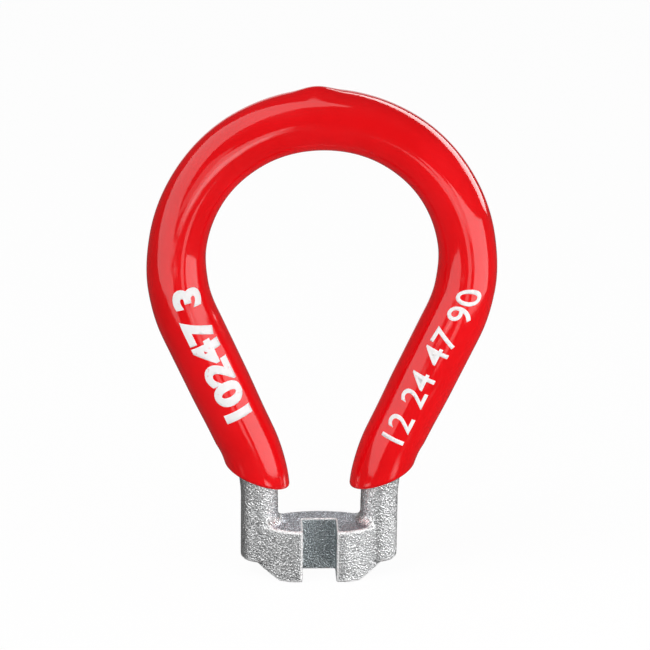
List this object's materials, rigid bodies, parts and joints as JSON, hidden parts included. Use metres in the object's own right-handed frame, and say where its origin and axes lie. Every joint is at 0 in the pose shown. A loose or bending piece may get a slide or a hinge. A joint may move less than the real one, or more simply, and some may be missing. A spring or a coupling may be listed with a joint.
{
  "type": "spoke wrench",
  "caption": "Loop-shaped spoke wrench: a cast steel body with an open nipple slot between its jaws, and a glossy dipped vinyl coat over the loop and arms.",
  "frame": {"origin": "centre of the nipple slot's back wall, in the plane of the loop's centre line", "axes": "+Z from the head up to the loop, -Y out of the slot's open side, +X across the head"},
  "size_m": [0.0348, 0.0064, 0.0517],
  "materials": {
    "cast_steel": "satin plating over a fine pebbled cast surface",
    "vinyl": "smooth, glossy, dipped"
  },
  "bodies": {
    "root": {"cast_body": "cast_steel", "vinyl_coat": "vinyl"}
  },
  "joints": []
}
